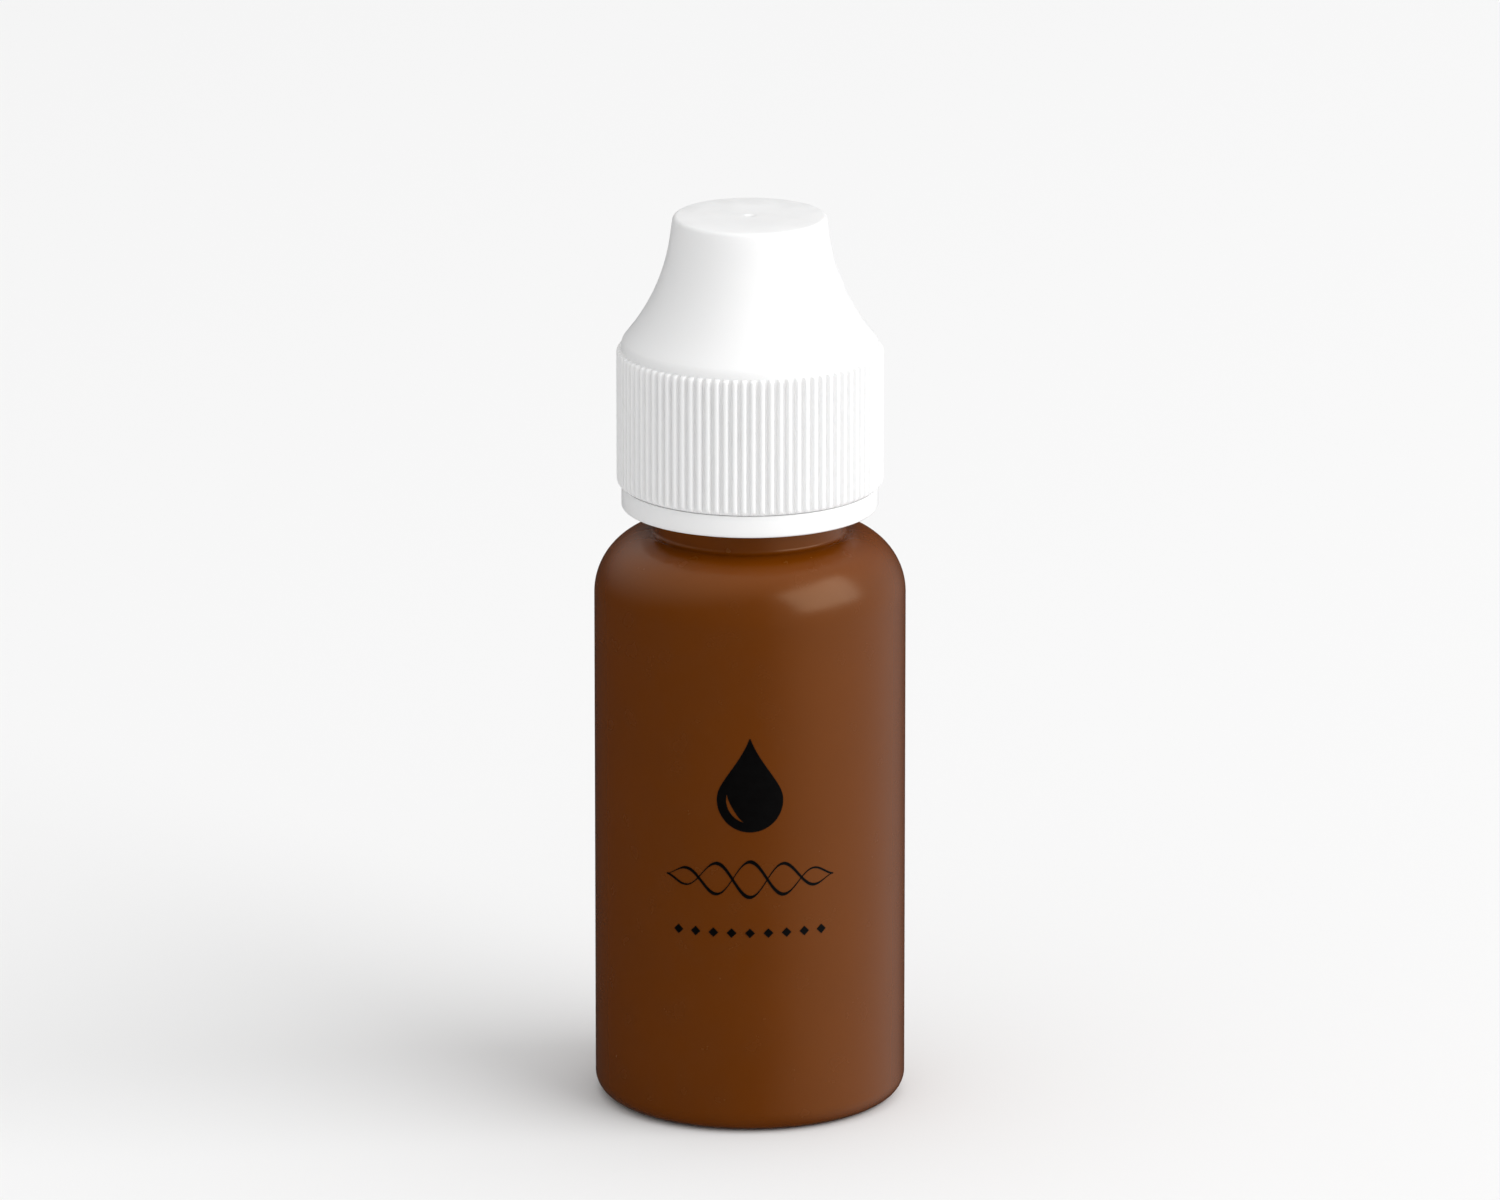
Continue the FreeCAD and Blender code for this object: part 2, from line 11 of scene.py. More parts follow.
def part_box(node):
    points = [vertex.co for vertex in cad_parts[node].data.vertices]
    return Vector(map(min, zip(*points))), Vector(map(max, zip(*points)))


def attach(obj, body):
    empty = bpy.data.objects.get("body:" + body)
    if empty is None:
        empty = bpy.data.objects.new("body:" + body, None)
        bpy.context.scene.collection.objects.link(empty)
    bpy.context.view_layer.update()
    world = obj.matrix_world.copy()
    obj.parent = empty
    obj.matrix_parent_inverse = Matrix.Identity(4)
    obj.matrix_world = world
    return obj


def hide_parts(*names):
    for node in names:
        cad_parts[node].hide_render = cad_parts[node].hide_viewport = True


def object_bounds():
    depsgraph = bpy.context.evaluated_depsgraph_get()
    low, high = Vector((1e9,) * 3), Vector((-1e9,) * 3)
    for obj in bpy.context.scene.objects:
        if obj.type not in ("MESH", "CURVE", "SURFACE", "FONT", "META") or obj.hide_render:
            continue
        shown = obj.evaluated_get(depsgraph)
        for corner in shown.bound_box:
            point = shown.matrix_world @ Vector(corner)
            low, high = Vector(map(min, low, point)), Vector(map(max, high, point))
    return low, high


bl_info = {
    "name": "Ink Dropper Bottle",
    "version": (1, 0, 0),
    "blender": (4, 5, 0),
    "location": "View3D > Sidebar > Ink Bottle",
    "description": "Body, ribbed cap, tamper ring, dropper tip, ink and printed mark of an ink bottle",
    "category": "Add Mesh",
}

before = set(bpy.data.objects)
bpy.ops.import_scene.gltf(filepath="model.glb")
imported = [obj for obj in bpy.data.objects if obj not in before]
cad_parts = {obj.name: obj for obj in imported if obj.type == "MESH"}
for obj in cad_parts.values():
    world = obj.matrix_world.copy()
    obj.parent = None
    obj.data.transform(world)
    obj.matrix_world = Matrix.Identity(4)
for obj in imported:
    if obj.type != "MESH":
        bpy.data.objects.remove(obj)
CAD_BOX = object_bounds()

MM = 0.001
UP = Vector((0, 0, 1))
FULL_TURN = 2 * math.pi
# Two radii or heights closer than this are taken as the same.
NEAR = 0.01 * MM
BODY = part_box("bottle")
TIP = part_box("dropper_tip")
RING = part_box("tamper_ring")
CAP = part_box("screw_cap")
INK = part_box("ink_fill")


# ---------------------------------------------------------------- sizes and colours


def length(name, description, millimetres):
    """A length setting, given in millimetres and kept in metres."""
    return FloatProperty(
        name=name,
        description=description,
        default=millimetres * MM,
        unit="LENGTH",
        subtype="DISTANCE",
        precision=5,
    )


def colour(name, description, value):
    return FloatVectorProperty(
        name=name, description=description, default=value, subtype="COLOR", size=3, min=0, max=1
    )


def angle(name, description, degrees):
    return FloatProperty(
        name=name,
        description=description,
        default=math.radians(degrees),
        unit="ROTATION",
        subtype="ANGLE",
    )


class BodySizes(bpy.types.PropertyGroup):
    """Sizes of the squeeze body and its neck."""

    wall: length("Wall", "Thickness of the side", 0.9)
    heel: length("Heel", "Rounding between the base and the side", 1.75)
    shoulder: length("Shoulder", "Rounding between the side and the neck", 5.3)
    side_height: length("Side height", "Height at which the straight side ends", 42.45)
    push_up: length("Push-up", "How far the base is domed in", 0.6)
    floor: length("Floor", "Thickness of the base", 0.9)
    foot_width: length("Foot width", "Flat width of the standing ring", 1.35)
    neck: length("Neck", "Neck radius at the root of the thread", 7.8)
    neck_fillet: length("Neck fillet", "Rounding where the neck meets the shoulder", 0.5)
    bore: length("Bore", "Inner radius of the neck", 6.3)
    bead: length("Bead", "Radius of the retaining bead", 8.9)
    bead_height: length("Bead height", "Lower edge of the retaining bead", 51.0)
    thread: length("Thread", "Radius over the thread", 8.85)
    thread_start: length("Thread start", "Height of the thread's first middle", 55.1875)
    pitch: length("Pitch", "Rise of the thread in one turn", 3.175)
    thread_turns: FloatProperty(name="Thread turns", description="Turns of thread", default=1.5)


class TipSizes(bpy.types.PropertyGroup):
    """Sizes of the dropper tip."""

    hole: length("Hole", "Radius of the hole that the drops leave by", 0.45)
    hole_depth: length("Hole depth", "Length of that hole", 1.3)
    mouth: length("Mouth", "Radius of the nozzle's blunt end", 1.6)
    mouth_flare: length("Mouth flare", "How much the blunt end widens downwards", 0.12)
    mouth_height: length("Mouth height", "Height of the blunt end", 1.0)
    cone: length("Cone", "Radius of the nozzle at its foot", 4.3)
    cone_foot: length("Cone foot", "Height of the nozzle's foot above the flange", 0.6)
    cone_spread: length("Cone spread", "How far the nozzle's foot spreads over the flange", 0.3)
    cone_inside: length("Cone inside", "Inner radius of the nozzle at its foot", 3.5)
    cone_ceiling: length("Cone ceiling", "Height of the nozzle's inner foot over the rim", 0.5)
    flange: length("Flange", "Thickness of the flange", 1.0)
    plug_gap: length("Plug gap", "Room between the plug and the bore", 0.15)
    plug_wall: length("Plug wall", "Thickness of the plug", 0.8)
    plug_lead: length("Plug lead-in", "Width of the slope at the plug's foot", 0.4)
    plug_lead_height: length("Plug lead-in height", "Height of that slope", 0.6)
    plug_ceiling: length("Plug ceiling", "Depth of the plug's inner top under the rim", 0.4)
    bead: length("Bead", "How far the sealing bead stands out", 0.13)
    bead_top: length("Bead top", "Depth of the sealing bead's start under the rim", 1.6)
    bead_slope: length("Bead slope", "Height of each slope, and of the flat between them", 0.4)


class CapSizes(bpy.types.PropertyGroup):
    """Sizes of the screw cap and the ring under it."""

    radius: length("Radius", "Radius of the smooth skirt between the ribs", 10.46)
    bore: length("Bore", "Inner radius of the skirt", 9.1)
    thread: length("Thread", "Radius inside the thread", 8.05)
    thread_start: length("Thread start", "Height of the thread's first middle", 53.9875)
    skirt_top: length("Skirt top", "Height at which the straight skirt ends", 63.2)
    corner: length("Corner", "Rounding between the skirt and the bell", 1.0)
    bell_arc: length("Bell curve", "Radius of the bell's hollow curve", 16.6)
    bell_x: length("Bell centre out", "Distance of that curve's centre from the axis", 22.93)
    bell_z: length("Bell centre up", "Height of that curve's centre", 74.54)
    bell_lean: angle("Bell lean", "Lean of the bell at its foot", 39.3)
    crown_lean: angle("Crown lean", "Lean of the bell at its top", 7.5)
    crown: length("Crown", "Radius of the flat top", 6.255)
    crown_edge: length("Crown edge", "Rounding of the top edge", 0.35)
    wall: length("Wall", "Thickness of the bell", 1.2)
    top_wall: length("Top wall", "Thickness of the flat top", 1.4)
    ribs: IntProperty(name="Ribs", description="Grip ribs round the skirt", default=90)
    rib_depth: length("Rib depth", "How far a rib stands out", 0.39)
    rib_phase: angle("Rib phase", "Turn of the ribs from the right-hand side", -0.65)
    boss: length("Boss", "Radius of the boss under the top", 2.4)
    pin: length("Pin", "Radius of the sealing pin", 0.3)
    catch: length("Catch", "Inner radius of the ring's catch", 8.4)
    bridges: IntProperty(name="Bridges", description="Tear bridges on the ring", default=10)


class PrintSizes(bpy.types.PropertyGroup):
    """Sizes of the printed mark."""

    film: length("Film", "Thickness of the printed ink", 0.045)
    drop_radius: length("Drop radius", "Radius of the drop's round part", 2.7)
    drop_centre: length("Drop centre", "Height of the drop's round part", 28.4)
    drop_point: length("Drop point", "Height of the drop's point above its centre", 5.2)
    flourish: length("Flourish", "Height of the flourish's middle", 21.7)
    flourish_half: length("Flourish half", "Half the width of the flourish", 7.1)
    flourish_swing: length("Flourish swing", "How far the flourish swings up and down", 1.5)
    row: length("Row", "Height of the row of diamonds", 17.15)
    row_pitch: length("Row pitch", "Spacing of the diamonds", 1.5)
    row_half: length("Row half", "Half the width of a diamond", 0.4)
    row_count: IntProperty(name="Row count", description="Diamonds in the row", default=9)


class Finishes(bpy.types.PropertyGroup):
    """Colours of the bottle's plastics and inks."""

    brown: colour("Body brown", "Brown polyethylene of the body", (0.122, 0.0275, 0.0003))
    white: colour("Cap white", "White plastic of the cap and ring", (0.905, 0.905, 0.905))
    natural: colour("Tip natural", "Uncoloured plastic of the dropper tip", (0.78, 0.8, 0.78))
    ink: colour("Ink", "Ink in the bottle", (0.012, 0.006, 0.003))
    black: colour("Print black", "Ink of the printed mark", (0.0012, 0.001, 0.001))
    floor: colour("Floor", "Studio floor", (0.88, 0.88, 0.88))


# ---------------------------------------------------------------- turned shapes


# Vertices closer than this become one when a turned shape is closed.
WELD = 0.0005 * MM


class Outline:
    """Draws a lathe outline in the XZ plane, starting from one vertex."""

    def __init__(self, mesh, x, z):
        self.mesh = mesh
        self.tip = mesh.verts.new((x, 0, z))
        self.soft = []

    def line(self, x, z, steps=1, soft=0):
        """Go straight to a point; soft rounds the corner there by that much."""
        start = self.tip.co.copy()
        end = Vector((x, 0, z))
        for step in range(1, steps + 1):
            grown = bmesh.ops.extrude_vert_indiv(self.mesh, verts=[self.tip])
            self.tip = grown["verts"][0]
            self.tip.co = start.lerp(end, step / steps)
        if soft:
            self.soft.append((self.tip, soft))

    def arc(self, centre_x, centre_z, turn, steps):
        """Go round a centre by an angle, anticlockwise when X points right and Z up."""
        spun = bmesh.ops.spin(
            self.mesh,
            geom=[self.tip],
            cent=(centre_x, 0, centre_z),
            axis=(0, -1, 0),
            angle=turn,
            steps=steps,
            use_merge=False,
        )
        self.tip = next(item for item in spun["geom_last"] if isinstance(item, bmesh.types.BMVert))

    def finish(self, sectors, steps):
        """Round the soft corners, turn the outline into one sector and repeat it round the axis."""
        for vert, radius in self.soft:
            bmesh.ops.bevel(
                self.mesh,
                geom=[vert],
                offset=radius,
                segments=4,
                profile=0.5,
                affect="VERTICES",
                material=-1,
            )
        bmesh.ops.spin(
            self.mesh,
            geom=self.mesh.verts[:] + self.mesh.edges[:],
            cent=(0, 0, 0),
            axis=UP,
            angle=FULL_TURN / sectors,
            steps=steps,
            use_merge=False,
        )
        bmesh.ops.spin(
            self.mesh,
            geom=self.mesh.verts[:] + self.mesh.edges[:] + self.mesh.faces[:],
            cent=(0, 0, 0),
            axis=UP,
            angle=FULL_TURN * (sectors - 1) / sectors,
            steps=sectors - 1,
            use_duplicate=True,
            use_merge=False,
        )
        bmesh.ops.remove_doubles(self.mesh, verts=self.mesh.verts, dist=WELD)
        bmesh.ops.recalc_face_normals(self.mesh, faces=self.mesh.faces)


# Turns over which a thread rises out of the wall at each end.
THREAD_FADE = 0.12
# How far a thread's root is sunk into its wall.
THREAD_SUNK = 0.2 * MM


def add_thread(mesh, root_radius, crest_radius, start, pitch, turns):
    """A helical thread with a trapezoid section, both ends sinking into the wall."""
    base, crest, steps_a_turn = 0.75 * MM, 0.35 * MM, 96
    corners = ((root_radius, -base), (crest_radius, -crest), (crest_radius, crest), (root_radius, base))
    section = [mesh.verts.new((x, 0, start + z)) for x, z in corners]
    face = mesh.faces.new(section)
    steps = round(steps_a_turn * turns)
    before = set(mesh.verts) - set(section)
    bmesh.ops.spin(
        mesh,
        geom=[face],
        cent=(0, 0, 0),
        axis=UP,
        dvec=(0, 0, pitch / steps_a_turn),
        angle=FULL_TURN * turns,
        steps=steps,
        use_merge=False,
    )
    ridge = [vert for vert in mesh.verts if vert not in before]
    for vert in ridge:
        radius = math.hypot(vert.co.x, vert.co.y)
        if abs(radius - crest_radius) > NEAR:
            continue
        share = math.atan2(vert.co.y, vert.co.x) / FULL_TURN
        along = round((vert.co.z - start) / pitch - share) + share
        near_end = smooth(min(along, turns - along) / THREAD_FADE)
        sunk = root_radius + (crest_radius - root_radius) * near_end
        vert.co.x *= sunk / radius
        vert.co.y *= sunk / radius
    faces = {face for vert in ridge for face in vert.link_faces}
    bmesh.ops.recalc_face_normals(mesh, faces=list(faces))


def smooth(value):
    """Ease a number between 0 and 1."""
    value = min(max(value, 0), 1)
    return value * value * (3 - 2 * value)


def make_piece(name, mesh, material, body, node, sharp=35):
    """Turn a bmesh into a piece that rides on a body and stands for a CAD node."""
    data = bpy.data.meshes.new(name)
    mesh.to_mesh(data)
    mesh.free()
    data.shade_smooth()
    data.set_sharp_from_angle(angle=math.radians(sharp))
    data.materials.append(material)
    piece = bpy.data.objects.new(name, data)
    bpy.context.scene.collection.objects.link(piece)
    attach(piece, body)
    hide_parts(node)
    return piece


# ---------------------------------------------------------------- materials


def set_range(node, low, high, to_low, to_high):
    """Give a Map Range node its two ranges, with soft ends."""
    node.interpolation_type = "SMOOTHSTEP"
    names = ("From Min", "From Max", "To Min", "To Max")
    for name, number in zip(names, (low, high, to_low, to_high)):
        node.inputs[name].default_value = number


class Finish:
    """A Principled material and the nodes that vary it."""

    def __init__(self, name):
        self.material = bpy.data.materials.new(name)
        self.material.use_nodes = True
        self.nodes = self.material.node_tree.nodes
        self.links = self.material.node_tree.links
        self.shader = self.nodes["Principled BSDF"]
        self.place = self.nodes.new("ShaderNodeTexCoord").outputs["Object"]

    def set(self, **values):
        for name, value in values.items():
            self.shader.inputs[name.replace("_", " ")].default_value = value

    def noise(self, scale, detail=2.0, roughness=0.5, stretch=(1, 1, 1)):
        """Noise in object space; scale is in features per metre."""
        mapping = self.nodes.new("ShaderNodeMapping")
        mapping.inputs["Scale"].default_value = stretch
        texture = self.nodes.new("ShaderNodeTexNoise")
        texture.inputs["Scale"].default_value = scale
        texture.inputs["Detail"].default_value = detail
        texture.inputs["Roughness"].default_value = roughness
        self.links.new(self.place, mapping.inputs["Vector"])
        self.links.new(mapping.outputs["Vector"], texture.inputs["Vector"])
        return texture.outputs["Fac"]

    def absolute(self, value):
        """The size of a number, without its sign."""
        node = self.nodes.new("ShaderNodeMath")
        node.operation = "ABSOLUTE"
        self.links.new(value, node.inputs[0])
        return node.outputs[0]

    def span(self, value, low, high, to_low, to_high):
        """Map a value from one range to another, with soft ends."""
        node = self.nodes.new("ShaderNodeMapRange")
        set_range(node, low, high, to_low, to_high)
        self.links.new(value, node.inputs["Value"])
        return node.outputs["Result"]

    def blend(self, factor, first, second):
        """Mix two colours by a factor."""
        node = self.mixer(factor)
        node.inputs["A"].default_value = (*first, 1)
        node.inputs["B"].default_value = (*second, 1)
        return node.outputs["Result"]

    def mix(self, factor, first, second):
        """Mix two colour sockets by a factor."""
        node = self.mixer(factor)
        self.links.new(first, node.inputs["A"])
        self.links.new(second, node.inputs["B"])
        return node.outputs["Result"]

    def mixer(self, factor):
        node = self.nodes.new("ShaderNodeMix")
        node.data_type = "RGBA"
        self.links.new(factor, node.inputs["Factor"])
        return node

    def axes(self):
        node = self.nodes.new("ShaderNodeSeparateXYZ")
        self.links.new(self.place, node.inputs[0])
        return node.outputs

    def colour(self, socket):
        self.links.new(socket, self.shader.inputs["Base Color"])

    def roughness(self, socket):
        self.links.new(socket, self.shader.inputs["Roughness"])

    def bump(self, *layers):
        """Stack bumps; each layer is a height socket and its depth in metres."""
        normal = None
        for height, depth in layers:
            node = self.nodes.new("ShaderNodeBump")
            node.inputs["Distance"].default_value = depth
            self.links.new(height, node.inputs["Height"])
            if normal:
                self.links.new(normal, node.inputs["Normal"])
            normal = node.outputs["Normal"]
        self.links.new(normal, self.shader.inputs["Normal"])


def shade(base, factor):
    return tuple(channel * factor for channel in base)


def brown_polyethylene(colours):
    """Satin opaque brown plastic with a mould's fine texture and its parting seam, painted lighter
    towards the neck to lift the shade under the ring.
    """
    finish = Finish("brown_polyethylene")
    base = tuple(colours.brown)
    place = finish.axes()
    cloud = finish.noise(140, 3)
    body_tone = finish.blend(cloud, shade(base, 0.94), shade(base, 1.06))
    # Painted light: from 44.5 mm up to 47.5 mm the brown turns 1.25 to 1.4 times lighter, lifting the
    # shade that falls on the neck under the ring.
    neck_painted_light = finish.blend(cloud, shade(base, 1.25), shade(base, 1.4))
    neck = finish.span(place["Z"], 44.5 * MM, 47.5 * MM, 0.0, 1.0)
    finish.colour(finish.mix(neck, body_tone, neck_painted_light))
    finish.roughness(finish.span(finish.noise(420, 4), 0.25, 0.75, 0.22, 0.28))
    finish.set(Specular_IOR_Level=0.5, Specular_Tint=(1.0, 0.72, 0.48, 1))
    seam_width = 0.16 * MM
    seam = finish.span(finish.absolute(place["Y"]), 0.0, seam_width, 1.0, 0.0)
    wave = finish.noise(260, 1)
    grain = finish.noise(1800, 1)
    finish.bump((wave, 0.012 * MM), (grain, 0.002 * MM), (seam, 0.02 * MM))
    return finish.material


def white_plastic(colours, name):
    """Satin white moulded plastic with faint flow marks."""
    finish = Finish(name)
    base = tuple(colours.white)
    flow = finish.noise(180, 3, 0.55, (1, 1, 0.35))
    finish.colour(finish.blend(flow, shade(base, 0.985), shade(base, 1.01)))
    finish.roughness(finish.span(finish.noise(600, 3), 0.25, 0.75, 0.34, 0.46))
    finish.set(Specular_IOR_Level=0.45)
    finish.set(Subsurface_Weight=0.12, Subsurface_Scale=0.6 * MM, Subsurface_Radius=(1.0, 0.95, 0.9))
    grain = finish.noise(2000, 1)
    finish.bump((finish.noise(300, 1), 0.004 * MM), (grain, 0.002 * MM))
    return finish.material


def natural_polyethylene(colours):
    """Uncoloured polyethylene: milky, with light going a little way in."""
    finish = Finish("natural_polyethylene")
    base = tuple(colours.natural)
    finish.colour(finish.blend(finish.noise(300, 3), shade(base, 0.95), shade(base, 1.05)))
    finish.roughness(finish.span(finish.noise(700, 3), 0.25, 0.75, 0.26, 0.38))
    finish.set(Subsurface_Weight=0.6, Subsurface_Scale=2.0 * MM, Subsurface_Radius=(1.0, 1.0, 0.9))
    finish.bump((finish.noise(1500, 1), 0.002 * MM))
    return finish.material


def liquid_ink(colours):
    """Dark writing ink with a wet surface."""
    finish = Finish("liquid_ink")
    base = tuple(colours.ink)
    finish.colour(finish.blend(finish.noise(90, 2), shade(base, 0.8), shade(base, 1.3)))
    finish.roughness(finish.span(finish.noise(200, 2), 0.3, 0.7, 0.03, 0.08))
    finish.set(IOR=1.34)
    finish.bump((finish.noise(60, 1), 0.02 * MM))
    return finish.material


def print_ink(colours):
    """Black screen-printing ink: matte, with a faint mesh pattern and uneven density."""
    finish = Finish("print_ink")
    base = tuple(colours.black)
    finish.colour(finish.blend(finish.noise(900, 4), base, shade(base, 2.2)))
    finish.roughness(finish.span(finish.noise(1500, 3), 0.3, 0.7, 0.42, 0.6))
    finish.set(Specular_IOR_Level=0.08)
    finish.bump((finish.noise(6000, 2), 0.004 * MM))
    return finish.material


# ---------------------------------------------------------------- the moulded body


def body_outline(mesh, sizes):
    """Outside from the base to the rim, then down the inside to the floor."""
    radius = BODY[1].x
    rim = BODY[1].z
    heel, shoulder, wall = sizes.heel, sizes.shoulder, sizes.wall
    side, neck = sizes.side_height, sizes.neck
    foot = radius - heel - sizes.foot_width
    centre = radius - shoulder
    rise = 0.8 * MM
    bead_flat, bead_slope_end = 0.4 * MM, 1.0 * MM
    pen = Outline(mesh, 0, sizes.push_up)
    pen.line(foot - rise, sizes.push_up, steps=3, soft=0.5 * MM)
    pen.line(foot, 0, soft=0.25 * MM)
    pen.line(radius - heel, 0)
    pen.arc(radius - heel, heel, math.radians(90), 16)
    pen.line(radius, side, steps=6)
    pen.arc(centre, side, math.acos((neck + sizes.neck_fillet - centre) / shoulder), 32)
    pen.line(neck, pen.tip.co.z, soft=sizes.neck_fillet * 0.7)
    pen.line(neck, sizes.bead_height)
    pen.line(sizes.bead, sizes.bead_height, soft=0.12 * MM)
    pen.line(sizes.bead, sizes.bead_height + bead_flat, soft=0.12 * MM)
    pen.line(neck, sizes.bead_height + bead_slope_end)
    pen.line(neck, rim, soft=0.2 * MM)
    pen.line(sizes.bore, rim, soft=0.15 * MM)
    top_inside = side + shoulder - wall
    pen.line(sizes.bore, top_inside, soft=0.4 * MM)
    pen.line(centre, top_inside)
    pen.arc(centre, side, math.radians(-90), 16)
    floor = sizes.push_up + sizes.floor
    inner_heel = heel - wall
    pen.line(radius - wall, floor + inner_heel, steps=3)
    pen.arc(radius - wall - inner_heel, floor + inner_heel, math.radians(-90), 8)
    pen.line(0, floor, steps=2)
    return pen


class INKBOTTLE_OT_body(bpy.types.Operator):
    """Blow-moulded squeeze body with a rounded shoulder and a threaded neck"""

    bl_idname = "ink_bottle.body"
    bl_label = "Squeeze Body"

    def execute(self, context):
        sizes = context.scene.bottle_body
        mesh = bmesh.new()
        body_outline(mesh, sizes).finish(16, 16)
        root_radius = sizes.neck - THREAD_SUNK
        add_thread(mesh, root_radius, sizes.thread, sizes.thread_start, sizes.pitch, sizes.thread_turns)
        material = brown_polyethylene(context.scene.bottle_finishes)
        make_piece("squeeze_body", mesh, material, "bottle", "bottle")
        return {"FINISHED"}


# ---------------------------------------------------------------- the dropper tip and the ink


class INKBOTTLE_OT_tip(bpy.types.Operator):
    """Dropper insert: plug, flange and pointed nozzle with a fine hole"""

    bl_idname = "ink_bottle.tip"
    bl_label = "Dropper Tip"

    def execute(self, context):
        sizes = context.scene.bottle_tip
        rim, top = BODY[1].z, TIP[1].z
        flange, bottom = TIP[1].x, TIP[0].z
        shelf = rim + sizes.flange
        plug = context.scene.bottle_body.bore - sizes.plug_gap
        inside = plug - sizes.plug_wall
        bead, slope = plug + sizes.bead, sizes.bead_slope
        bead_top = rim - sizes.bead_top
        mesh = bmesh.new()
        pen = Outline(mesh, sizes.hole, top - sizes.hole_depth)
        pen.line(sizes.hole, top, soft=0.08 * MM)
        pen.line(sizes.mouth, top, soft=0.3 * MM)
        pen.line(sizes.mouth + sizes.mouth_flare, top - sizes.mouth_height, soft=0.3 * MM)
        pen.line(sizes.cone, shelf + sizes.cone_foot, steps=3, soft=0.6 * MM)
        pen.line(sizes.cone + sizes.cone_spread, shelf, soft=0.2 * MM)
        pen.line(flange, shelf, soft=0.2 * MM)
        pen.line(flange, rim, soft=0.1 * MM)
        pen.line(plug, rim)
        pen.line(plug, bead_top)
        pen.line(bead, bead_top - slope, soft=0.1 * MM)
        pen.line(bead, bead_top - 2 * slope, soft=0.1 * MM)
        pen.line(plug, bead_top - 3 * slope)
        pen.line(plug, bottom + sizes.plug_lead_height, soft=0.2 * MM)
        pen.line(plug - sizes.plug_lead, bottom, soft=0.1 * MM)
        pen.line(inside, bottom, soft=0.1 * MM)
        pen.line(inside, rim - sizes.plug_ceiling, soft=0.3 * MM)
        pen.line(sizes.cone_inside, rim + sizes.cone_ceiling, soft=0.3 * MM)
        pen.line(sizes.hole, top - sizes.hole_depth)
        pen.finish(16, 10)
        material = natural_polyethylene(context.scene.bottle_finishes)
        make_piece("dropper_nozzle", mesh, material, "bottle", "dropper_tip")
        return {"FINISHED"}


# Where the meniscus has dropped to: distance from the wall in millimetres, and share of its depth.
MENISCUS = ((0.15, 0.5), (0.5, 0.86), (1.2, 1.0))


class INKBOTTLE_OT_ink(bpy.types.Operator):
    """Ink in the body, with a meniscus where it meets the wall"""

    bl_idname = "ink_bottle.ink"
    bl_label = "Ink"

    def execute(self, context):
        low, high = INK
        radius = high.x
        corner = 1.0 * MM
        depth = 0.5 * MM
        mesh = bmesh.new()
        pen = Outline(mesh, 0, low.z)
        pen.line(radius - corner, low.z, soft=0.3 * MM)
        pen.line(radius, low.z + corner, soft=0.3 * MM)
        pen.line(radius, high.z, steps=4)
        for inward, share in MENISCUS:
            pen.line(radius - inward * MM, high.z - share * depth)
        pen.line(0, high.z - depth, steps=3)
        pen.finish(16, 8)
        material = liquid_ink(context.scene.bottle_finishes)
        make_piece("ink_level", mesh, material, "bottle", "ink_fill", sharp=60)
        return {"FINISHED"}


# ---------------------------------------------------------------- the cap and its ring


# Columns of one rib: share of the way to the next rib, and share of the rib's height.
RIB_COLUMNS = (
    (0.0, 1.0),
    (0.13, 0.98),
    (0.21, 0.9),
    (0.27, 0.45),
    (0.34, 0.0),
    (0.5, 0.0),
    (0.66, 0.0),
    (0.73, 0.45),
    (0.79, 0.9),
    (0.87, 0.98),
)


# Bevel inside the skirt's mouth.
MOUTH_BEVEL = 0.25 * MM
# The ribs start this far above the skirt's foot, and end this far below its top.
RIBS_FROM_FOOT = 0.1 * MM
RIBS_FROM_TOP = 0.25 * MM


def cap_outline(mesh, sizes):
    """Up the skirt and the bell to the top, then down the pin, the boss and the inside."""
    low, high = CAP[0].z, CAP[1].z
    radius, corner = sizes.radius, sizes.corner
    centre_x, centre_z = sizes.bell_x, sizes.bell_z
    lean, crown_lean = sizes.bell_lean, sizes.crown_lean
    outer_bevel = 0.1 * MM
    ribs_full_from, ribs_full_to = 0.85 * MM, 0.55 * MM
    gate, gate_floor, gate_depth = 0.45 * MM, 0.3 * MM, 0.1 * MM
    round_gate = 0.6 * MM
    pen = Outline(mesh, sizes.bore + MOUTH_BEVEL, low)
    pen.line(radius - outer_bevel, low, soft=0.06 * MM)
    pen.line(radius, low + RIBS_FROM_FOOT)
    pen.line(radius, low + ribs_full_from, steps=7)
    pen.line(radius, sizes.skirt_top - ribs_full_to, steps=3)
    pen.line(radius, sizes.skirt_top - RIBS_FROM_TOP, steps=6)
    pen.line(radius, sizes.skirt_top, steps=2)
    pen.arc(radius - corner, sizes.skirt_top, lean, 8)
    pen.line(centre_x - sizes.bell_arc * math.cos(lean), centre_z - sizes.bell_arc * math.sin(lean))
    pen.arc(centre_x, centre_z, crown_lean - lean, 22)
    pen.line(sizes.crown, high, soft=sizes.crown_edge)
    pen.line(round_gate, high, steps=2)
    pen.line(gate, high)
    pen.line(gate_floor, high - gate_depth)
    pen.line(0, high - gate_depth)
    return pen


def cap_inside(pen, sizes):
    """The inside of the cap, from the pin on its axis out to the skirt's mouth."""
    low, high = CAP[0].z, CAP[1].z
    ceiling = high - sizes.top_wall
    boss_height, pin_length = 1.3 * MM, 0.9 * MM
    boss_low = ceiling - boss_height
    pin_low = boss_low - pin_length
    inner_arc = sizes.bell_arc + sizes.wall
    start = math.asin((sizes.bell_z - ceiling) / inner_arc)
    end = math.acos((sizes.bell_x - sizes.bore) / inner_arc)
    pen.tip = pen.mesh.verts.new((0, 0, pin_low))
    pen.line(sizes.pin, pin_low, soft=0.08 * MM)
    pen.line(sizes.pin, boss_low)
    pen.line(sizes.boss, boss_low, soft=0.1 * MM)
    pen.line(sizes.boss, ceiling)
    pen.line(sizes.bell_x - inner_arc * math.cos(start), ceiling)
    pen.arc(sizes.bell_x, sizes.bell_z, end - start, 12)
    pen.line(sizes.bore, low + MOUTH_BEVEL, steps=2)
    pen.line(sizes.bore + MOUTH_BEVEL, low)


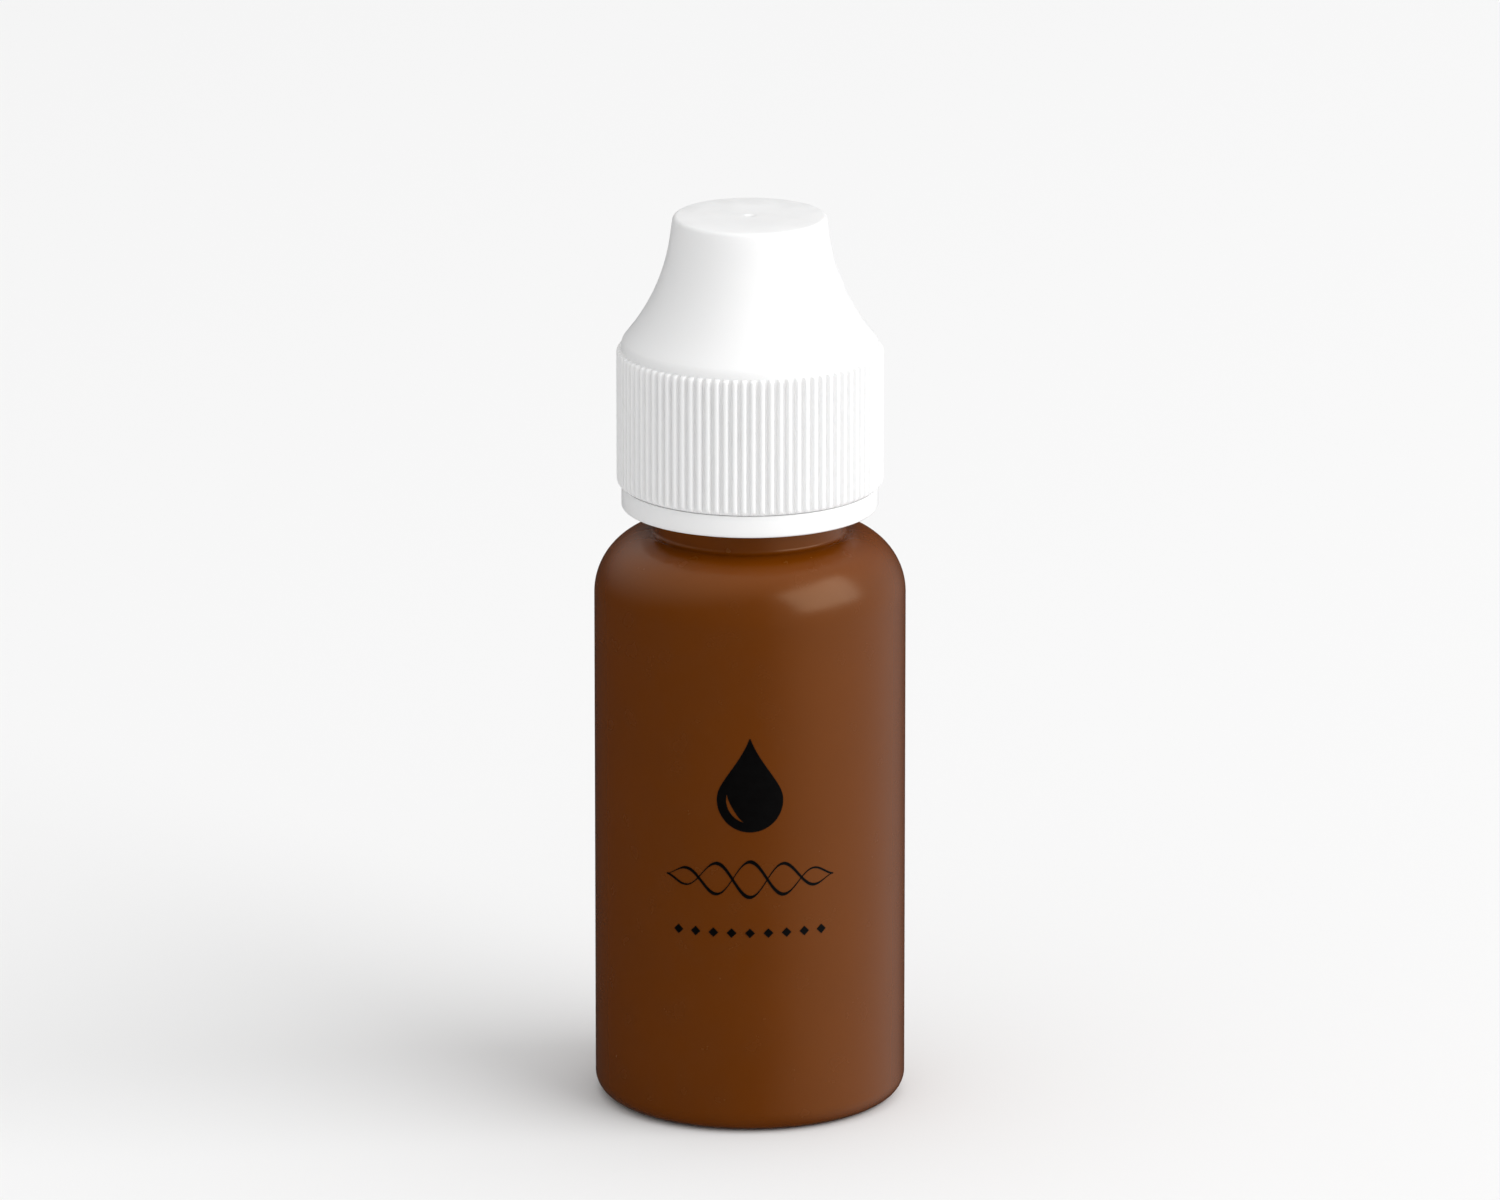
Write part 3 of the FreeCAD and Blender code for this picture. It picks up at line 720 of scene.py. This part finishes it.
def raise_ribs(mesh, sizes):
    """Gather the skirt's columns at the ribs' flanks, then push the ribs out with square ends."""
    low, high = CAP[0].z + RIBS_FROM_FOOT, sizes.skirt_top - RIBS_FROM_TOP
    low_fade, high_fade = 0.45 * MM, 0.25 * MM
    for vert in mesh.verts:
        radius = math.hypot(vert.co.x, vert.co.y)
        if radius < NEAR:
            continue
        column = round(math.atan2(vert.co.y, vert.co.x) * sizes.ribs * len(RIB_COLUMNS) / FULL_TURN)
        rib, place = divmod(column, len(RIB_COLUMNS))
        offset, crest = RIB_COLUMNS[place]
        turn = (rib + offset) * FULL_TURN / sizes.ribs + sizes.rib_phase
        if abs(radius - sizes.radius) < NEAR and low < vert.co.z < high:
            foot = min((vert.co.z - low) / low_fade, 1)
            top = min((high - vert.co.z) / high_fade, 1)
            fade = math.sqrt(1 - (1 - foot) ** 2) * math.sqrt(1 - (1 - top) ** 2)
            radius += sizes.rib_depth * crest * fade
        vert.co.x = radius * math.cos(turn)
        vert.co.y = radius * math.sin(turn)


class INKBOTTLE_OT_cap(bpy.types.Operator):
    """Screw cap: ribbed skirt, bell top, inner thread, boss and sealing pin"""

    bl_idname = "ink_bottle.cap"
    bl_label = "Screw Cap"

    def execute(self, context):
        sizes = context.scene.bottle_cap
        body = context.scene.bottle_body
        mesh = bmesh.new()
        pen = cap_outline(mesh, sizes)
        cap_inside(pen, sizes)
        pen.finish(sizes.ribs, len(RIB_COLUMNS))
        raise_ribs(mesh, sizes)
        root_radius = sizes.bore + THREAD_SUNK
        add_thread(mesh, root_radius, sizes.thread, sizes.thread_start, body.pitch, body.thread_turns)
        material = white_plastic(context.scene.bottle_finishes, "cap_plastic")
        make_piece("ribbed_cap", mesh, material, "cap", "screw_cap", sharp=50)
        return {"FINISHED"}


class INKBOTTLE_OT_ring(bpy.types.Operator):
    """Tamper-evident ring with its catch and tear bridges"""

    bl_idname = "ink_bottle.ring"
    bl_label = "Tamper Ring"

    def execute(self, context):
        sizes = context.scene.bottle_cap
        low, slit_top = RING[0].z, RING[1].z
        slit, bridge_height, lip_width, catch_height = 0.03 * MM, 0.35 * MM, 0.25 * MM, 1.05 * MM
        lead_in, lead_in_height = 0.3 * MM, 0.2 * MM
        top = slit_top - slit
        catch_top = low + catch_height
        ledge = slit_top - bridge_height
        lip = sizes.radius - lip_width
        mesh = bmesh.new()
        pen = Outline(mesh, sizes.catch, low + lead_in_height)
        pen.line(sizes.catch + lead_in, low, soft=0.06 * MM)
        pen.line(sizes.radius, low, soft=0.2 * MM)
        pen.line(sizes.radius, top, soft=0.06 * MM)
        pen.line(lip, top, soft=0.04 * MM)
        pen.line(lip, ledge, soft=0.06 * MM)
        pen.line(sizes.bore, ledge, soft=0.08 * MM)
        pen.line(sizes.bore, catch_top, soft=0.1 * MM)
        pen.line(sizes.catch, catch_top, soft=0.1 * MM)
        pen.line(sizes.catch, low + lead_in_height)
        pen.finish(16, 16)
        for place in range(sizes.bridges):
            self.add_bridge(mesh, sizes, ledge, slit_top, FULL_TURN * place / sizes.bridges)
        material = white_plastic(context.scene.bottle_finishes, "ring_plastic")
        make_piece("tear_ring", mesh, material, "ring", "tamper_ring")
        return {"FINISHED"}

    def add_bridge(self, mesh, sizes, ledge, slit_top, turn):
        """A short block that tapers towards the edge where it tears off the cap."""
        sunk = 0.1 * MM
        outward, along, taper = 0.8 * MM, 0.6 * MM, 0.75
        size = (outward, along, slit_top - ledge + sunk)
        middle = ((sizes.radius + sizes.bore) / 2, 0, (slit_top + ledge - sunk) / 2)
        place = Matrix.Rotation(turn, 4, "Z") @ Matrix.Translation(middle) @ Matrix.Diagonal((*size, 1))
        made = bmesh.ops.create_cube(mesh, size=1, matrix=place)
        upper = [vert for vert in made["verts"] if vert.co.z > slit_top - NEAR]
        centre = sum((vert.co for vert in upper), Vector()) / len(upper)
        bmesh.ops.scale(mesh, vec=(taper, taper, 1), space=Matrix.Translation(-centre), verts=upper)


# ---------------------------------------------------------------- the printed mark


def flat_shape(outlines):
    """A filled flat shape from closed outlines; an outline inside another is a hole."""
    curve = bpy.data.curves.new("flat_shape", "CURVE")
    curve.dimensions = "2D"
    curve.fill_mode = "BOTH"
    for points in outlines:
        spline = curve.splines.new("POLY")
        spline.points.add(len(points) - 1)
        for point, (x, z) in zip(spline.points, points):
            point.co = (x, z, 0, 1)
        spline.use_cyclic_u = True
    return curve_to_bmesh(curve)


def curve_to_bmesh(curve):
    holder = bpy.data.objects.new(curve.name, curve)
    data = bpy.data.meshes.new_from_object(holder)
    mesh = bmesh.new()
    mesh.from_mesh(data)
    bpy.data.objects.remove(holder)
    bpy.data.curves.remove(curve)
    bpy.data.meshes.remove(data)
    return mesh


def drop_outline(sizes):
    """A drop: round below, with two hollow flanks that run up to a point."""
    radius, reach = sizes.drop_radius, sizes.drop_point
    steps, pinch = 96, 0.86
    points = []
    for step in range(steps):
        turn = FULL_TURN * step / steps
        pull = max(math.sin(turn), 0) ** 3
        narrow = 1 - pinch * pull
        x = radius * math.cos(turn) * narrow
        z = radius * math.sin(turn) + (reach - radius) * pull
        points.append((x, sizes.drop_centre + z))
    return points


def glint_outline(sizes):
    """A crescent left unprinted inside the drop, along its lower left."""
    outer, inner = sizes.drop_radius * 0.72, sizes.drop_radius * 0.58
    start, end, steps = math.radians(165), math.radians(255), 24
    turns = [start + (end - start) * step / steps for step in range(steps + 1)]
    rim = [(outer * math.cos(turn), outer * math.sin(turn)) for turn in turns]
    back = []
    for place, turn in enumerate(reversed(turns[1:-1]), start=1):
        bulge = math.sin(math.pi * place / steps)
        reach = outer + (inner - outer) * bulge
        back.append((reach * math.cos(turn), reach * math.sin(turn)))
    return [(x, sizes.drop_centre + z) for x, z in rim + back]


def wave_outline(sizes, side, periods=2.5, steps=160):
    """One pen stroke of the flourish: a wave that swells on its way down and fades at its ends."""
    half, swing = sizes.flourish_half, sizes.flourish_swing
    thin, swell, end_share = 0.07 * MM, 0.13 * MM, 0.25
    upper, lower = [], []
    for step in range(steps + 1):
        share = step / steps
        fade = math.sin(math.pi * share) ** 0.7
        turn = FULL_TURN * periods * share
        height = side * swing * fade * math.sin(turn)
        slope = side * math.cos(turn)
        thick = thin + swell * smooth(0.5 - 0.5 * slope)
        thick *= end_share + (1 - end_share) * fade
        x = half * (2 * share - 1)
        upper.append((x, sizes.flourish + height + thick))
        lower.append((x, sizes.flourish + height - thick))
    return upper + lower[::-1]


def diamond_outline(x, z, half):
    return [(x - half, z), (x, z - half), (x + half, z), (x, z + half)]


def wrap_round(mesh, radius, film):
    """Give a flat shape its thickness and lay it round the front of the body."""
    width, sunk = 0.25 * MM, 0.02 * MM
    reach = max(abs(vert.co.x) for vert in mesh.verts)
    cuts = int(reach / width)
    for place in range(-cuts, cuts + 1):
        bmesh.ops.bisect_plane(
            mesh,
            geom=mesh.verts[:] + mesh.edges[:] + mesh.faces[:],
            plane_co=(place * width, 0, 0),
            plane_no=(1, 0, 0),
            dist=0.001 * MM,
        )
    grown = bmesh.ops.extrude_face_region(mesh, geom=mesh.faces[:])
    front = {item for item in grown["geom"] if isinstance(item, bmesh.types.BMVert)}
    for vert in mesh.verts:
        turn = vert.co.x / radius
        reach = radius + (film if vert in front else -sunk)
        vert.co = Vector((reach * math.sin(turn), -reach * math.cos(turn), vert.co.y))
    bmesh.ops.recalc_face_normals(mesh, faces=mesh.faces)


class INKBOTTLE_OT_mark(bpy.types.Operator):
    """Printed mark: a drop, an interlaced flourish and a row of small diamonds"""

    bl_idname = "ink_bottle.mark"
    bl_label = "Printed Mark"

    def execute(self, context):
        sizes = context.scene.bottle_print
        shapes = [[drop_outline(sizes), glint_outline(sizes)]]
        shapes += [[wave_outline(sizes, side)] for side in (1, -1)]
        first = -(sizes.row_count - 1) / 2
        for place in range(sizes.row_count):
            x = (first + place) * sizes.row_pitch
            shapes.append([diamond_outline(x, sizes.row, sizes.row_half)])
        whole = bmesh.new()
        for outlines in shapes:
            part = flat_shape(outlines)
            wrap_round(part, BODY[1].x, sizes.film)
            data = bpy.data.meshes.new("print_part")
            part.to_mesh(data)
            part.free()
            whole.from_mesh(data)
            bpy.data.meshes.remove(data)
        material = print_ink(context.scene.bottle_finishes)
        make_piece("drop_print", whole, material, "bottle", "printed_mark")
        return {"FINISHED"}


# ---------------------------------------------------------------- the studio


def studio_world(scene):
    """Soft white light, brighter above and to the right; glossy surfaces see a darker room instead."""
    world = bpy.data.worlds.new("studio")
    world.use_nodes = True
    nodes, links = world.node_tree.nodes, world.node_tree.links
    place = nodes.new("ShaderNodeTexCoord")

    def glow(toward, low, high, dim, bright):
        dot = nodes.new("ShaderNodeVectorMath")
        dot.operation = "DOT_PRODUCT"
        dot.inputs[1].default_value = Vector(toward).normalized()
        spread = nodes.new("ShaderNodeMapRange")
        set_range(spread, low, high, dim, bright)
        links.new(place.outputs["Generated"], dot.inputs[0])
        links.new(dot.outputs["Value"], spread.inputs["Value"])
        return spread.outputs["Result"]

    room = glow((0.62, -0.3, 0.74), -0.8, 0.9, 0.35, 0.93)
    softbox = nodes.new("ShaderNodeMath")
    softbox.operation = "ADD"
    links.new(glow((1, -0.1, 0.1), 0.1, 1.0, 0.04, 0.8), softbox.inputs[0])
    links.new(glow((-0.35, 0.2, 0.91), 0.3, 1.0, 0.0, 0.85), softbox.inputs[1])
    path = nodes.new("ShaderNodeLightPath")
    choice = nodes.new("ShaderNodeMix")
    links.new(path.outputs["Is Glossy Ray"], choice.inputs["Factor"])
    links.new(room, choice.inputs["A"])
    links.new(softbox.outputs[0], choice.inputs["B"])
    links.new(choice.outputs["Result"], nodes["Background"].inputs["Strength"])
    nodes["Background"].inputs["Color"].default_value = (1, 1, 1, 1)
    scene.world = world


def add_softbox(name, place, aim, width, height, power):
    light = bpy.data.lights.new(name, "AREA")
    light.shape = "RECTANGLE"
    light.size = width
    light.size_y = height
    light.energy = power
    lamp = bpy.data.objects.new(name, light)
    lamp.location = place
    lamp.rotation_euler = (Vector(aim) - Vector(place)).to_track_quat("-Z", "Y").to_euler()
    bpy.context.scene.collection.objects.link(lamp)


CAMERA_PLACE = (0, -1.0663, 0.3408)
CAMERA_DIP = 15.67
CAMERA_LENS = 325.9
CAMERA_SENSOR = 36


def add_camera(scene):
    """A long lens a little over a metre away, looking down at the bottle."""
    data = bpy.data.cameras.new("camera")
    data.sensor_width = CAMERA_SENSOR
    data.lens = CAMERA_LENS
    camera = bpy.data.objects.new("camera", data)
    camera.location = CAMERA_PLACE
    camera.rotation_euler = (math.radians(90 - CAMERA_DIP), 0, 0)
    scene.collection.objects.link(camera)
    scene.camera = camera


class INKBOTTLE_OT_stage(bpy.types.Operator):
    """Pale studio floor, soft lights and the camera"""

    bl_idname = "ink_bottle.stage"
    bl_label = "Stage"

    def execute(self, context):
        scene = context.scene
        floor_radius, floor_drop = 4.0, 0.02 * MM
        mesh = bmesh.new()
        bmesh.ops.create_circle(mesh, cap_ends=True, segments=64, radius=floor_radius)
        data = bpy.data.meshes.new("studio_floor")
        mesh.to_mesh(data)
        mesh.free()
        finish = Finish("studio_floor")
        base = tuple(scene.bottle_finishes.floor)
        finish.colour(finish.blend(finish.noise(3, 2), shade(base, 0.995), shade(base, 1.005)))
        finish.set(Roughness=0.9, Specular_IOR_Level=0.0)
        data.materials.append(finish.material)
        floor = bpy.data.objects.new("studio_floor", data)
        scene.collection.objects.link(floor)
        data.transform(Matrix.Translation((0, 0, -floor_drop)))
        floor.visible_glossy = False
        studio_world(scene)
        target = (0, 0, CAD_BOX[1][2] * 0.45)
        add_softbox("key", (2.05, -0.95, 1.6), target, width=2.7, height=2.0, power=45.0)
        scene.view_settings.view_transform = "Standard"
        add_camera(scene)
        return {"FINISHED"}


# ---------------------------------------------------------------- panel and registration


class INKBOTTLE_PT_panel(bpy.types.Panel):
    """Buttons for each piece of the bottle"""

    bl_label = "Ink Bottle"
    bl_idname = "INKBOTTLE_PT_panel"
    bl_space_type = "VIEW_3D"
    bl_region_type = "UI"
    bl_category = "Ink Bottle"

    def draw(self, context):
        for operator in OPERATORS:
            self.layout.operator(operator.bl_idname)


OPERATORS = (
    INKBOTTLE_OT_body,
    INKBOTTLE_OT_tip,
    INKBOTTLE_OT_ink,
    INKBOTTLE_OT_ring,
    INKBOTTLE_OT_cap,
    INKBOTTLE_OT_mark,
    INKBOTTLE_OT_stage,
)
SETTINGS = {
    "bottle_body": BodySizes,
    "bottle_tip": TipSizes,
    "bottle_cap": CapSizes,
    "bottle_print": PrintSizes,
    "bottle_finishes": Finishes,
}


def register():
    for item in (*SETTINGS.values(), *OPERATORS, INKBOTTLE_PT_panel):
        bpy.utils.register_class(item)
    for name, group in SETTINGS.items():
        setattr(bpy.types.Scene, name, PointerProperty(type=group))


def unregister():
    for name in SETTINGS:
        delattr(bpy.types.Scene, name)
    for item in reversed((*SETTINGS.values(), *OPERATORS, INKBOTTLE_PT_panel)):
        bpy.utils.unregister_class(item)


def main():
    register()
    bpy.ops.ink_bottle.body()
    bpy.ops.ink_bottle.tip()
    bpy.ops.ink_bottle.ink()
    bpy.ops.ink_bottle.ring()
    bpy.ops.ink_bottle.cap()
    bpy.ops.ink_bottle.mark()
    bpy.ops.ink_bottle.stage()


if __name__ == "__main__":
    main()
